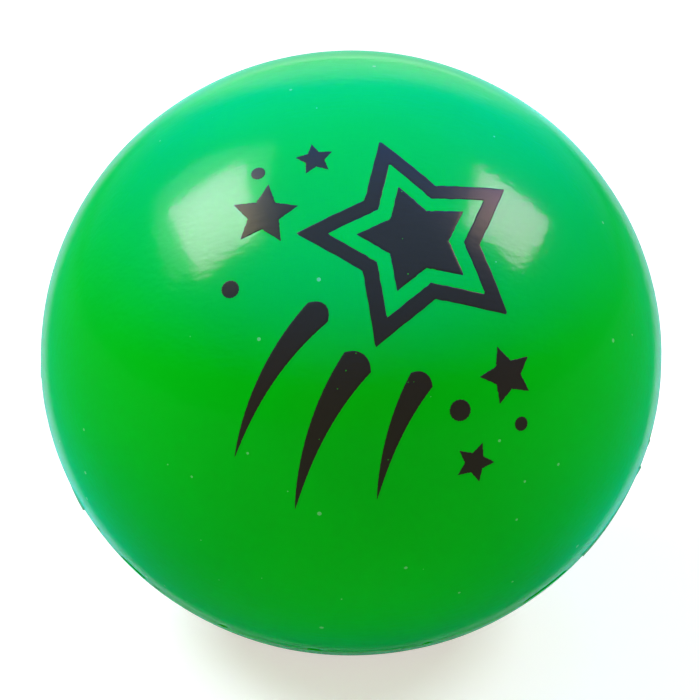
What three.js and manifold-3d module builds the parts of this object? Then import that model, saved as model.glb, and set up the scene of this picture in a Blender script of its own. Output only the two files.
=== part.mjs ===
// Light-up ball: a soft hollow rubber ball in two welded halves, with a shake-worked flashing
// module in a plugged pocket. Millimetres, +Z up. The origin is the middle of the flat that the
// ball rests on, and the front pole looks along -Y and up.
import * as THREE from "three";
import { mergeVertices } from "three/addons/utils/BufferGeometryUtils.js";
import Module from "manifold-3d";

const wasm = await Module();
wasm.setup();

// Ball
const BALL_WIDTH = 75;
const BALL_HEIGHT = 71.6; // from the floor to the top of the sagged ball
const REST_FLAT_RADIUS = 9;
const BELLY = 0.28; // how far the lower half bulges and the upper half draws in
const POLE_TILT = 38; // degrees that the front pole looks up
const SHELL_WALL = 3.5;

// Seam between the two halves
const LAP_DEPTH = 2;
const TONGUE_WALL = 1.6;
const WELD_GAP = 0.3;
const FLASH_HEIGHT = 0.25;
const FLASH_WIDTH = 0.5;

// Pocket in the rear half, and its plug
const POCKET_WALL = 1.6;
const PLUG_LIP = 2.5; // how far the plug's head reaches past the pocket's bore
const PLUG_RIM = 2; // thickness of the head at its edge
const PLUG_BODY = 4; // length of the plug inside the bore
const PLUG_BEAD = 0.6; // height of the bead that holds the plug
const PLUG_BEAD_WIDTH = 1.2;
const SAG_FADE = 10; // width of the skin round the plug over which the sag fades out

// Clearance between pieces that sit on or in each other
const SEAT_GAP = 0.3;

// Button cells
const CELL_COUNT = 3;
const CELL_DIAMETER = 11.6;
const CELL_THICKNESS = 3.05;
const CELL_CAP_DIAMETER = 8.6;
const CELL_CAP_STEP = 0.4;
const CELL_EDGE = 0.3;
const SLEEVE_WALL = 0.3;

// Contact strips and insulator
const STRIP_THICKNESS = 0.3;
const STRIP_WIDTH = 3;
const STRIP_REACH = 4; // how far a strip runs past the middle of the stack
const TAB_STANDOUT = 0.8; // how far a strip's tab stands out of the board
const INSULATOR_THICKNESS = 0.3;

// Circuit board and what is soldered to it
const BOARD_THICKNESS = 1;
const BOARD_LEDGE = 0.9; // width of the board's rim that the capsule grips
const PART_MARGIN = 0.5; // space between the parts on the board and the capsule's wall
const SOLDER_RADIUS = 0.8;
const SOLDER_TAIL = 1; // how far a lead reaches below the board
const LEAD_DIAMETER = 0.5;
const LEAD_PITCH = 2.54;
const LED_DIAMETER = 3;
const LED_FLANGE_DIAMETER = 3.8;
const LED_FLANGE_HEIGHT = 0.8;
const LED_HEIGHT = 4.6;
const CHIP_DIAMETER = 5.2;
const CHIP_HEIGHT = 1.1;
const RESISTOR_LENGTH = 2;
const RESISTOR_WIDTH = 1.25;
const RESISTOR_HEIGHT = 0.5;
const RESISTOR_SPACING = 0.8; // from the edge of the chip

// Shake switch
const SPRING_DIAMETER = 2.6;
const SPRING_WIRE = 0.25;
const SPRING_PITCH = 0.8;
const SPRING_COILS = 7;
const PIN_DIAMETER = 0.7;
const PIN_HEIGHT = 5.5; // above the board

// Capsule
const CUP_FLOOR = 1.2;
const CUP_CHAMFER = 0.6;
const CAPSULE_RIM = 0.9; // wall of the cup round the board
const SPIGOT_LENGTH = 1.5; // how far the lens enters the cup
const LENS_HEADROOM = 1; // above the tallest part on the board
const LENS_RISE = 2.5; // height of the lens's dome
const LENS_WALL = 1.2;

// Places round the board, in degrees; lamps, strip tabs and switch share one ring
const LED_PLACES = { red: 30, green: 150, blue: 270 };
const POSITIVE_TAB_PLACE = 90;
const NEGATIVE_TAB_PLACE = 210;
const SWITCH_PLACE = 330;
const RESISTOR_PLACE = 90;

// Facets
const BALL_SIDES = 48;
const ARC_STEPS = 10;
const CAPSULE_SIDES = 32;
const CELL_SIDES = 24;
const LED_SIDES = 12;
const LEAD_SIDES = 8;
const DOME_STEPS = 4;
const CURL_STEPS = 8;
const WIRE_SIDES = 5;
const MERGE_DISTANCE = 1e-4;

// Ball and cavity
const ballRadius = BALL_WIDTH / 2;
const cavityRadius = ballRadius - SHELL_WALL;
const flatShare = Math.sqrt(1 - (REST_FLAT_RADIUS / ballRadius) ** 2);
const uprightRadius = BALL_HEIGHT / (1 + flatShare);
const centreHeight = BALL_HEIGHT - uprightRadius;

// Radii of the module, from the cells outwards
const cellRadius = CELL_DIAMETER / 2;
const sleeveInner = cellRadius + SEAT_GAP;
const sleeveOuter = sleeveInner + SLEEVE_WALL;
const tabRadius = sleeveOuter + SEAT_GAP;
const partRing = sleeveOuter + SEAT_GAP + SOLDER_RADIUS;
const widestPart = Math.max(LED_FLANGE_DIAMETER, SPRING_DIAMETER, LEAD_PITCH + 2 * SOLDER_RADIUS) / 2;
const capsuleInner = partRing + widestPart + PART_MARGIN;
const boardRadius = capsuleInner + BOARD_LEDGE;
const boardRecess = boardRadius + SEAT_GAP;
const capsuleRadius = boardRecess + CAPSULE_RIM;

// Heights in the module, from the underside of the capsule
const negativeStripZ = CUP_FLOOR + SEAT_GAP;
const stackZ = negativeStripZ + STRIP_THICKNESS + SEAT_GAP;
const cellPitch = CELL_THICKNESS + SEAT_GAP;
const stackTop = stackZ + CELL_COUNT * cellPitch - SEAT_GAP;
const positiveStripZ = stackTop + SEAT_GAP;
const insulatorZ = positiveStripZ + STRIP_THICKNESS + SEAT_GAP;
const boardZ = insulatorZ + INSULATOR_THICKNESS + SEAT_GAP;
const boardTop = boardZ + BOARD_THICKNESS;
const boardLedgeZ = boardZ - SEAT_GAP;
const partZ = boardTop + SEAT_GAP;
const spigotZ = boardTop + SEAT_GAP;
const shoulderZ = spigotZ + SPIGOT_LENGTH;
const springHeight = SPRING_COILS * SPRING_PITCH + SPRING_WIRE;
const lensStraightTop = partZ + Math.max(LED_HEIGHT, springHeight, PIN_HEIGHT) + LENS_HEADROOM;
const capsuleHeight = lensStraightTop + LENS_RISE + LENS_WALL;

// Pocket and plug, from the ball's centre towards the front pole
const boreRadius = capsuleRadius + SEAT_GAP;
const pocketRadius = boreRadius + POCKET_WALL;
const plugRadius = boreRadius - SEAT_GAP;
const plugHeadRadius = boreRadius + PLUG_LIP;
const mouthRadius = plugHeadRadius + SEAT_GAP;
const plugEdgeAngle = -Math.acos(plugHeadRadius / ballRadius);
const mouthAngle = -Math.acos(mouthRadius / ballRadius);
const mouthLedgeZ = ballRadius * Math.sin(plugEdgeAngle) + PLUG_RIM;
const plugTopZ = mouthLedgeZ + PLUG_BODY;
const beadZ = (mouthLedgeZ + plugTopZ) / 2;
const moduleZ = plugTopZ + SEAT_GAP;
const pocketFloorZ = moduleZ + capsuleHeight + SEAT_GAP;
const pocketEndZ = pocketFloorZ + POCKET_WALL;

const tilt = THREE.MathUtils.degToRad(90 - POLE_TILT);
const upright = new THREE.Matrix4().makeRotationX(tilt);
const tilted = upright.clone().invert();

// Finishes; every piece gets a material of its own
const finish = (color, roughness, more) => new THREE.MeshStandardMaterial({ color, roughness, ...more });
const softRubber = () => finish(0x00a80c, 0.2);
const clearStyrene = () => finish(0xe8eef0, 0.1, { transparent: true, opacity: 0.35 });
const boardLaminate = () => finish(0x1c6b3a, 0.45);
const chipEpoxy = () => finish(0x101010, 0.3);
const resistorCeramic = () => finish(0x1a1a1c, 0.4);
const insulatorCard = () => finish(0xb9a27c, 0.8);
const sleeveFilm = () => finish(0x20242c, 0.3);
const cellSteel = () => finish(0xc9cacb, 0.3, { metalness: 1 });
const contactNickel = () => finish(0xbfc0bd, 0.35, { metalness: 1 });
const tinnedWire = () => finish(0xc4c4c0, 0.4, { metalness: 1 });
const switchBrass = () => finish(0xd0b070, 0.3, { metalness: 1 });
const lampEpoxy = {
  red: () => finish(0xd8343a, 0.15),
  green: () => finish(0x3fae5a, 0.15),
  blue: () => finish(0x3c62c8, 0.15),
};

// Turns [radius, height] points about +Z; the points run up the outside and down the inside.
function turned(points, sides) {
  const outline = points.map(([radius, height]) => new THREE.Vector2(radius, height));
  return new THREE.LatheGeometry(outline, sides).rotateX(Math.PI / 2);
}

// Points of an ellipse about [0, height], between two angles above its horizontal axis.
function arc(across, up, from, to, steps, height = 0) {
  return Array.from({ length: steps + 1 }, (_, step) => {
    const angle = THREE.MathUtils.lerp(from, to, step / steps);
    return [across * Math.cos(angle), height + up * Math.sin(angle)];
  });
}

function solidOf(geometry) {
  const bare = geometry.clone();
  bare.deleteAttribute("normal");
  bare.deleteAttribute("uv");
  const merged = mergeVertices(bare, MERGE_DISTANCE);
  const vertProperties = new Float32Array(merged.attributes.position.array);
  const triVerts = new Uint32Array(merged.index.array);
  return new wasm.Manifold(new wasm.Mesh({ numProp: 3, vertProperties, triVerts }));
}

function geometryOf(solid) {
  const { vertProperties, triVerts, numProp } = solid.getMesh();
  const geometry = new THREE.BufferGeometry();
  geometry.setAttribute("position", new THREE.BufferAttribute(vertProperties, numProp));
  geometry.setIndex(new THREE.BufferAttribute(triVerts, 1));
  geometry.computeVertexNormals();
  return geometry;
}

function cut(geometry, tools) {
  return geometryOf(tools.reduce((left, tool) => left.subtract(solidOf(tool)), solidOf(geometry)));
}

function piece(parent, name, geometry, material) {
  const mesh = new THREE.Mesh(geometry, material);
  mesh.name = name;
  parent.add(mesh);
  return mesh;
}

// A place on the board's ring of parts, turned to its angle.
function place(parent, degrees) {
  const spot = new THREE.Group();
  spot.rotation.z = THREE.MathUtils.degToRad(degrees);
  parent.add(spot);
  return spot;
}

// Lets a shell sag under its own weight: lower, and fuller below its middle. The pocket and the
// skin close to the plug keep their moulded shape.
function sagged(geometry) {
  const points = geometry.attributes.position;
  const moulded = new THREE.Vector3();
  for (let i = 0; i < points.count; i += 1) {
    moulded.fromBufferAttribute(points, i);
    const fromAxis = Math.hypot(moulded.x, moulded.y);
    const behind = moulded.z < pocketEndZ + POCKET_WALL;
    const share = behind ? THREE.MathUtils.smoothstep(fromAxis, mouthRadius, mouthRadius + SAG_FADE) : 1;
    const settled = moulded.clone().applyMatrix4(upright);
    const spread = 1 - (BELLY / ballRadius) * (settled.z / ballRadius);
    settled.x *= spread;
    settled.y *= spread;
    settled.z *= uprightRadius / ballRadius;
    moulded.lerp(settled.applyMatrix4(tilted), share);
    points.setXYZ(i, moulded.x, moulded.y, moulded.z);
  }
  return geometry;
}

// Everything below the floor, in the ball's tilted frame.
function floorBlock() {
  const block = new THREE.BoxGeometry(2 * BALL_WIDTH, 2 * BALL_WIDTH, BALL_WIDTH);
  block.translate(0, 0, -centreHeight - BALL_WIDTH / 2);
  return block.applyMatrix4(tilted);
}

function frontHalfShell() {
  const tongueRadius = cavityRadius + TONGUE_WALL;
  const profile = [
    ...arc(cavityRadius, cavityRadius, Math.PI / 2, 0, ARC_STEPS),
    [cavityRadius, -LAP_DEPTH],
    [tongueRadius, -LAP_DEPTH],
    [tongueRadius, 0],
    [ballRadius + FLASH_HEIGHT, 0],
    ...arc(ballRadius, ballRadius, FLASH_WIDTH / ballRadius, Math.PI / 2, ARC_STEPS),
  ];
  return cut(sagged(turned(profile, BALL_SIDES)), [floorBlock()]);
}

function rearHalfShell() {
  const lapRadius = cavityRadius + TONGUE_WALL + WELD_GAP;
  const lapZ = -LAP_DEPTH - WELD_GAP;
  const lapAngle = Math.asin(lapZ / cavityRadius);
  const flashAngle = -(FLASH_WIDTH + WELD_GAP) / ballRadius;
  const pocketRootAngle = -Math.acos(pocketRadius / cavityRadius);
  const profile = [
    [0, pocketFloorZ],
    [boreRadius, pocketFloorZ],
    [boreRadius, beadZ + PLUG_BEAD_WIDTH / 2],
    [boreRadius + PLUG_BEAD, beadZ],
    [boreRadius, beadZ - PLUG_BEAD_WIDTH / 2],
    [boreRadius, mouthLedgeZ],
    [mouthRadius, mouthLedgeZ],
    ...arc(ballRadius, ballRadius, mouthAngle, flashAngle, ARC_STEPS),
    [ballRadius + FLASH_HEIGHT, -WELD_GAP],
    [lapRadius, -WELD_GAP],
    [lapRadius, lapZ],
    ...arc(cavityRadius, cavityRadius, lapAngle, pocketRootAngle, ARC_STEPS),
    [pocketRadius, pocketEndZ],
    [0, pocketEndZ],
  ];
  return cut(sagged(turned(profile, BALL_SIDES)), [floorBlock()]);
}

function pocketPlug() {
  const headTopZ = mouthLedgeZ - SEAT_GAP;
  const profile = [
    ...arc(ballRadius, ballRadius, -Math.PI / 2, plugEdgeAngle, DOME_STEPS),
    [plugHeadRadius, headTopZ],
    [plugRadius, headTopZ],
    [plugRadius, beadZ - PLUG_BEAD_WIDTH / 2],
    [plugRadius + PLUG_BEAD, beadZ],
    [plugRadius, beadZ + PLUG_BEAD_WIDTH / 2],
    [plugRadius, plugTopZ],
    [0, plugTopZ],
  ];
  return turned(profile, BALL_SIDES);
}

function capsuleCup() {
  const rimZ = shoulderZ - SEAT_GAP;
  const profile = [
    [0, 0],
    [capsuleRadius - CUP_CHAMFER, 0],
    [capsuleRadius, CUP_CHAMFER],
    [capsuleRadius, rimZ],
    [boardRecess, rimZ],
    [boardRecess, boardLedgeZ],
    [capsuleInner, boardLedgeZ],
    [capsuleInner, CUP_FLOOR],
    [0, CUP_FLOOR],
  ];
  return turned(profile, CAPSULE_SIDES);
}

function capsuleLens() {
  const spigotRadius = boardRecess - SEAT_GAP;
  const profile = [
    ...arc(capsuleInner, LENS_RISE, Math.PI / 2, 0, DOME_STEPS, lensStraightTop),
    [capsuleInner, spigotZ],
    [spigotRadius, spigotZ],
    [spigotRadius, shoulderZ],
    [capsuleRadius, shoulderZ],
    ...arc(capsuleRadius, LENS_RISE + LENS_WALL, 0, Math.PI / 2, DOME_STEPS, lensStraightTop),
  ];
  return turned(profile, CAPSULE_SIDES);
}

function buttonCell() {
  const capRadius = CELL_CAP_DIAMETER / 2;
  const profile = [
    [0, 0],
    [capRadius, 0],
    [capRadius, CELL_CAP_STEP],
    [cellRadius - CELL_EDGE, CELL_CAP_STEP],
    [cellRadius, CELL_CAP_STEP + CELL_EDGE],
    [cellRadius, CELL_THICKNESS - CELL_EDGE],
    [cellRadius - CELL_EDGE, CELL_THICKNESS],
    [0, CELL_THICKNESS],
  ];
  return turned(profile, CELL_SIDES);
}

function cellSleeve() {
  const profile = [
    [sleeveInner, stackZ],
    [sleeveOuter, stackZ],
    [sleeveOuter, stackTop],
    [sleeveInner, stackTop],
    [sleeveInner, stackZ],
  ];
  return turned(profile, CELL_SIDES);
}

// An L-shaped strip: a tongue across the stack at a height, and a tab up through the board at +X.
function contactStrip(tongueZ) {
  const tabTop = boardTop + TAB_STANDOUT;
  const outline = new THREE.Shape();
  outline.moveTo(-STRIP_REACH, tongueZ);
  outline.lineTo(tabRadius + STRIP_THICKNESS, tongueZ);
  outline.lineTo(tabRadius + STRIP_THICKNESS, tabTop);
  outline.lineTo(tabRadius, tabTop);
  outline.lineTo(tabRadius, tongueZ + STRIP_THICKNESS);
  outline.lineTo(-STRIP_REACH, tongueZ + STRIP_THICKNESS);
  const strip = new THREE.ExtrudeGeometry(outline, { depth: STRIP_WIDTH, bevelEnabled: false });
  return strip.rotateX(Math.PI / 2).translate(0, STRIP_WIDTH / 2, 0);
}

function insulatorDisc() {
  const disc = new THREE.CylinderGeometry(sleeveOuter, sleeveOuter, INSULATOR_THICKNESS, CELL_SIDES);
  return disc.rotateX(Math.PI / 2).translate(0, 0, insulatorZ + INSULATOR_THICKNESS / 2);
}

function boardHole(radius, along, degrees) {
  const hole = new THREE.CylinderGeometry(radius, radius, 2 * BOARD_THICKNESS, LEAD_SIDES);
  hole.rotateX(Math.PI / 2).translate(partRing, along, boardZ + BOARD_THICKNESS / 2);
  return hole.rotateZ(THREE.MathUtils.degToRad(degrees));
}

function boardSlot(degrees) {
  const slot = new THREE.BoxGeometry(
    STRIP_THICKNESS + 2 * SEAT_GAP,
    STRIP_WIDTH + 2 * SEAT_GAP,
    2 * BOARD_THICKNESS,
  );
  slot.translate(tabRadius + STRIP_THICKNESS / 2, 0, boardZ + BOARD_THICKNESS / 2);
  return slot.rotateZ(THREE.MathUtils.degToRad(degrees));
}

function circuitBoard() {
  const disc = new THREE.CylinderGeometry(boardRadius, boardRadius, BOARD_THICKNESS, CAPSULE_SIDES);
  disc.rotateX(Math.PI / 2).translate(0, 0, boardZ + BOARD_THICKNESS / 2);
  const leadHole = LEAD_DIAMETER / 2 + SEAT_GAP;
  const leadHoles = Object.values(LED_PLACES).flatMap((degrees) => [
    boardHole(leadHole, LEAD_PITCH / 2, degrees),
    boardHole(leadHole, -LEAD_PITCH / 2, degrees),
  ]);
  const pinHole = boardHole(PIN_DIAMETER / 2 + SEAT_GAP, 0, SWITCH_PLACE);
  return cut(disc, [...leadHoles, pinHole, boardSlot(POSITIVE_TAB_PLACE), boardSlot(NEGATIVE_TAB_PLACE)]);
}

function controllerChip() {
  const dome = arc(CHIP_DIAMETER / 2, CHIP_HEIGHT, 0, Math.PI / 2, DOME_STEPS, partZ);
  return turned([[0, partZ], ...dome], CELL_SIDES);
}

function timingResistor() {
  const resistor = new THREE.BoxGeometry(RESISTOR_WIDTH, RESISTOR_LENGTH, RESISTOR_HEIGHT);
  const fromMiddle = CHIP_DIAMETER / 2 + RESISTOR_SPACING + RESISTOR_WIDTH / 2;
  return resistor.translate(fromMiddle, 0, partZ + RESISTOR_HEIGHT / 2);
}

function lamp() {
  const domeZ = LED_HEIGHT - LED_DIAMETER / 2;
  const profile = [
    [0, 0],
    [LED_FLANGE_DIAMETER / 2, 0],
    [LED_FLANGE_DIAMETER / 2, LED_FLANGE_HEIGHT],
    [LED_DIAMETER / 2, LED_FLANGE_HEIGHT],
    ...arc(LED_DIAMETER / 2, LED_DIAMETER / 2, 0, Math.PI / 2, DOME_STEPS, domeZ),
  ];
  return turned(profile, LED_SIDES);
}

// A round lead through the board, with its cone of solder underneath.
function solderedLead(diameter, top) {
  const solderTop = boardZ - SEAT_GAP;
  const profile = [
    [0, boardZ - SOLDER_TAIL],
    [diameter / 2, boardZ - SOLDER_TAIL],
    [SOLDER_RADIUS, solderTop],
    [diameter / 2, solderTop],
    [diameter / 2, top],
    [0, top],
  ];
  return turned(profile, LEAD_SIDES);
}

// Centre line of the shake spring's wire.
class SpringLine extends THREE.Curve {
  getPoint(along, target = new THREE.Vector3()) {
    const radius = (SPRING_DIAMETER - SPRING_WIRE) / 2;
    const angle = 2 * Math.PI * SPRING_COILS * along;
    const height = SPRING_PITCH * SPRING_COILS * along;
    return target.set(radius * Math.cos(angle), radius * Math.sin(angle), height);
  }
}

function shakeSpring() {
  const section = new THREE.Shape();
  for (let side = 0; side < WIRE_SIDES; side += 1) {
    const angle = (2 * Math.PI * side) / WIRE_SIDES;
    const corner = [(SPRING_WIRE / 2) * Math.cos(angle), (SPRING_WIRE / 2) * Math.sin(angle)];
    if (side === 0) section.moveTo(...corner);
    else section.lineTo(...corner);
  }
  const steps = SPRING_COILS * CURL_STEPS;
  const sweep = { steps, bevelEnabled: false, extrudePath: new SpringLine() };
  return new THREE.ExtrudeGeometry(section, sweep).translate(0, 0, SPRING_WIRE / 2);
}

// Least clear distance between stretches of the spring's wire that lie over half a turn apart.
function springGap() {
  const steps = SPRING_COILS * CURL_STEPS;
  const points = new SpringLine().getPoints(steps);
  let least = Infinity;
  points.forEach((point, i) => {
    points.slice(i + CURL_STEPS / 2 + 1).forEach((other) => {
      least = Math.min(least, point.distanceTo(other) - SPRING_WIRE);
    });
  });
  return least;
}

const lightUpBall = new THREE.Group();
const ball = new THREE.Group();
ball.position.z = centreHeight;
ball.rotation.x = tilt;
lightUpBall.add(ball);
piece(ball, "front_half_shell", frontHalfShell(), softRubber());
piece(ball, "rear_half_shell", rearHalfShell(), softRubber());
piece(ball, "pocket_plug", pocketPlug(), softRubber());

const flasher = new THREE.Group();
flasher.position.z = moduleZ;
ball.add(flasher);
piece(flasher, "capsule_cup", capsuleCup(), clearStyrene());
piece(flasher, "capsule_lens", capsuleLens(), clearStyrene());
piece(flasher, "circuit_board", circuitBoard(), boardLaminate());
piece(flasher, "controller_chip", controllerChip(), chipEpoxy());
piece(place(flasher, RESISTOR_PLACE), "timing_resistor", timingResistor(), resistorCeramic());

for (let cell = 0; cell < CELL_COUNT; cell += 1) {
  const can = piece(flasher, `button_cell_${cell + 1}`, buttonCell(), cellSteel());
  can.position.z = stackZ + cell * cellPitch;
}
piece(flasher, "cell_sleeve", cellSleeve(), sleeveFilm());
piece(place(flasher, NEGATIVE_TAB_PLACE), "negative_strip", contactStrip(negativeStripZ), contactNickel());
piece(place(flasher, POSITIVE_TAB_PLACE), "positive_strip", contactStrip(positiveStripZ), contactNickel());
piece(flasher, "insulator_disc", insulatorDisc(), insulatorCard());

for (const [colour, degrees] of Object.entries(LED_PLACES)) {
  const spot = place(flasher, degrees);
  const body = piece(spot, `led_${colour}`, lamp(), lampEpoxy[colour]());
  body.position.set(partRing, 0, partZ);
  const anode = piece(spot, `led_${colour}_anode`, solderedLead(LEAD_DIAMETER, boardTop), tinnedWire());
  anode.position.set(partRing, LEAD_PITCH / 2, 0);
  const cathode = piece(spot, `led_${colour}_cathode`, solderedLead(LEAD_DIAMETER, boardTop), tinnedWire());
  cathode.position.set(partRing, -LEAD_PITCH / 2, 0);
}

const switchSpot = place(flasher, SWITCH_PLACE);
const pinTop = boardTop + PIN_HEIGHT;
const pin = piece(switchSpot, "shake_pin", solderedLead(PIN_DIAMETER, pinTop), switchBrass());
pin.position.x = partRing;
const spring = piece(switchSpot, "shake_spring", shakeSpring(), switchBrass());
spring.position.set(partRing, 0, partZ);
console.log(`shake_spring: least gap between its curls ${springGap().toFixed(2)} mm`);

export default lightUpBall;
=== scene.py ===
"""Looks of a light-up rubber ball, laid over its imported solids.

Shapes are worked out in millimetres in the ball's own frame: its middle at the origin, and its pole
axis, from the plug to the printed side, along +Z. settled() and seated() turn them to the world.
"""
import math

import bpy
import numpy as np
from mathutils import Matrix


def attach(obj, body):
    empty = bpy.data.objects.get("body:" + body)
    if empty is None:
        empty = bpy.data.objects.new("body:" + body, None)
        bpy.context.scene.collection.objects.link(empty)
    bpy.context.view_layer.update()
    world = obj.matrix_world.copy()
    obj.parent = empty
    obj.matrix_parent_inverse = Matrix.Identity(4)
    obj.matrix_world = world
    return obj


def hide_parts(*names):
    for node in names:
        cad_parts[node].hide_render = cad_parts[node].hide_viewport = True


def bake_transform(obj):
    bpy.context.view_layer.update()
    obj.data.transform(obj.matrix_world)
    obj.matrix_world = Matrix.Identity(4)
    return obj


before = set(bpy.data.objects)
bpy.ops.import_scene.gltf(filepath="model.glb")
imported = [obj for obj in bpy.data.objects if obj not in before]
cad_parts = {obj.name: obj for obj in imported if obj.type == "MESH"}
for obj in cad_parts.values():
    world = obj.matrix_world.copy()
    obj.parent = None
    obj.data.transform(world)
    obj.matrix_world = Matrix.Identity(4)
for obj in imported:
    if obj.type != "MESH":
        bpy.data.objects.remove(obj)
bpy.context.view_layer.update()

MM = 0.001
TINY = 1e-9

# Ball, in millimetres and degrees, as in the solids
BALL_WIDTH = 75.0
BALL_HEIGHT = 71.6
REST_FLAT_RADIUS = 9.0
BELLY = 0.28
POLE_TILT = 38.0
SHELL_WALL = 3.5
PRESS_ROUNDING = 0.25
LUMP_HEIGHT = 0.035
LUMP_WAVELENGTHS = (26.0, 19.0, 15.0, 12.0)
# Radians that each wave of lumps turns on from the last, round the pole and along it
LUMP_TURNS = (2.4, 1.3)

# Seam
LAP_DEPTH = 2.0
TONGUE_WALL = 1.6
WELD_GAP = 0.3
SEAM_GAP = 0.16
SEAM_ROUNDING = 0.12
WELD_RIDGE = 0.06
WELD_RIDGE_WIDTH = 0.5
FLASH_TRIM = 0.05
FLASH_THICKNESS = 0.2
FLASH_ROOT = 0.4
NICK_DEPTH = 0.28
NICK_REACH = 0.9
NICK_BLUNTNESS = 0.3
TAG_BLUNTNESS = 0.6
FLASH_WAVES = (31, 7)
FLASH_TAGS = [
    # place round the seam and length in degrees, and height; a negative length runs the other way round
    (180, 5, 0.14), (206, 6, 0.27), (230, 3, 0.16), (254, 5, 0.14), (271, 8, 0.12), (335, 2.5, 0.22),
    (337, -20, 0.22), (341, 2, 0.16), (20, 9, 0.2), (58, 4, 0.3), (77, 12, 0.16), (104, 5, 0.24),
    (133, 8, 0.2), (160, 3, 0.3),
]
FLASH_NICKS = [
    # place round the seam and length in degrees, where the flash is torn out and the seam shows dark
    (182, 3), (216, 1.5), (223, 7), (245, 2), (262, 3), (283, 2), (303, 10), (342, 2), (12, 4), (40, 6),
    (71, 3), (95, 4), (118, 7), (150, 5),
]
# Corners of the flash, as a closed loop: whether at its edge, and the share of its thickness off its middle
FLASH_SECTION = ((0, -0.5), (1, -0.3), (1, 0.3), (0, 0.5), (0, -0.5))

# Pocket and plug
POCKET_WALL = 1.6
PLUG_LIP = 2.5
PLUG_RIM = 2.0
PLUG_BODY = 4.0
PLUG_BEAD = 0.6
PLUG_BEAD_WIDTH = 1.2
PLUG_EDGE_ROUNDING = 0.35
PLUG_EDGE_POINTS = 3
# Radians past the mouth's edge at which its rounding ends and the outer arc starts
MOUTH_CURVE_END = 0.02
MOUTH_ARC_START = 0.03
GATE_RADIUS = 1.8
GATE_DEPTH = 0.5
GATE_STEEPNESS = 4
SAG_FADE = 10.0
SEAT_GAP = 0.3

# Module
CELL_COUNT = 3
CELL_DIAMETER = 11.6
CELL_THICKNESS = 3.05
CELL_CAP_DIAMETER = 8.6
CELL_CAP_STEP = 0.4
CELL_EDGE = 0.3
SLEEVE_WALL = 0.3
STRIP_THICKNESS = 0.3
STRIP_WIDTH = 3.0
STRIP_REACH = 4.0
STRIP_BEND = 0.7
SLEEVE_SHRINK = 0.18
SLEEVE_JOINT_POWER = 6
SLEEVE_PUCKER = 0.06
SLEEVE_PUCKER_COUNT = 34
SLEEVE_END_POWER = 8
MOULDED_ROUNDING = 0.2
BLOB_WAVE = 0.03
BLOB_LOBES = (3, 2)
BLOCK_POWER = 0.3
CAP_LENGTH = 0.5
CAP_PROUD = 0.06
TAB_STANDOUT = 0.8
INSULATOR_THICKNESS = 0.3
BOARD_THICKNESS = 1.0
BOARD_LEDGE = 0.9
PART_MARGIN = 0.5
SOLDER_RADIUS = 0.8
SOLDER_TAIL = 1.0
LEAD_DIAMETER = 0.5
LEAD_PITCH = 2.54
LED_DIAMETER = 3.0
LED_FLANGE_DIAMETER = 3.8
LED_FLANGE_HEIGHT = 0.8
LED_HEIGHT = 4.6
CHIP_DIAMETER = 5.2
CHIP_HEIGHT = 1.1
RESISTOR_SIZE = (1.25, 2.0, 0.5)
RESISTOR_SPACING = 0.8
SPRING_DIAMETER = 2.6
SPRING_WIRE = 0.25
SPRING_PITCH = 0.8
SPRING_COILS = 7
PIN_DIAMETER = 0.7
PIN_HEIGHT = 5.5
CUP_FLOOR = 1.2
CUP_CHAMFER = 0.6
CAPSULE_RIM = 0.9
SPIGOT_LENGTH = 1.5
LENS_HEADROOM = 1.0
LENS_RISE = 2.5
LENS_WALL = 1.2
LED_PLACES = {"red": 30, "green": 150, "blue": 270}
POSITIVE_TAB_PLACE = 90
NEGATIVE_TAB_PLACE = 210
SWITCH_PLACE = 330
RESISTOR_PLACE = 90

# Print: a shooting star, on a patch whose middle lies at this direction in the world
PRINT_MIDDLE = (0.097, -0.836, 0.540)
INK_THICKNESS = 0.018
INK_ROOT = 0.08
INK_BEVEL = 0.05
INK_WOBBLE = 0.06
INK_WAVES = (17, 29, 43)
INK_ROWS = 12
TRAIL_HEAD = 0.06
TRAIL_TAPER = 0.8
TRAIL_CALM = 3
DOT_POINTS = 24
STAR_SEED_STEP = 10
DOT_SEED = 100
TRAIL_SEED = 200

# Camera, and the ball's place in the 700 pixel picture
CAMERA_ELEVATION = 24.0
CAMERA_DISTANCE = 500.0
CAMERA_REACH = 20000.0
PICTURE_PIXELS = 700
BALL_PIXELS_WIDE = 621.2
BALL_MIDDLE_PIXELS = (351.1, 352.1)
SENSOR_WIDTH = 36.0

# Grid steps
AROUND_BALL = 288
AROUND_SEAM = 2880
AROUND_MODULE = 96
AROUND_SMALL = 48
ARC_STEPS = 72
CORNER_STEPS = 6
WIRE_SIDES = 16
SLEEVE_STEPS = 61
TRAIL_STEPS = 160

# Derived sizes of the ball
ball_radius = BALL_WIDTH / 2
cavity_radius = ball_radius - SHELL_WALL
upright_radius = BALL_HEIGHT / (1 + math.sqrt(1 - (REST_FLAT_RADIUS / ball_radius) ** 2))
centre_height = BALL_HEIGHT - upright_radius
tilt = math.radians(90 - POLE_TILT)
pole_turn = np.array([
    [1, 0, 0],
    [0, math.cos(tilt), -math.sin(tilt)],
    [0, math.sin(tilt), math.cos(tilt)],
])

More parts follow.
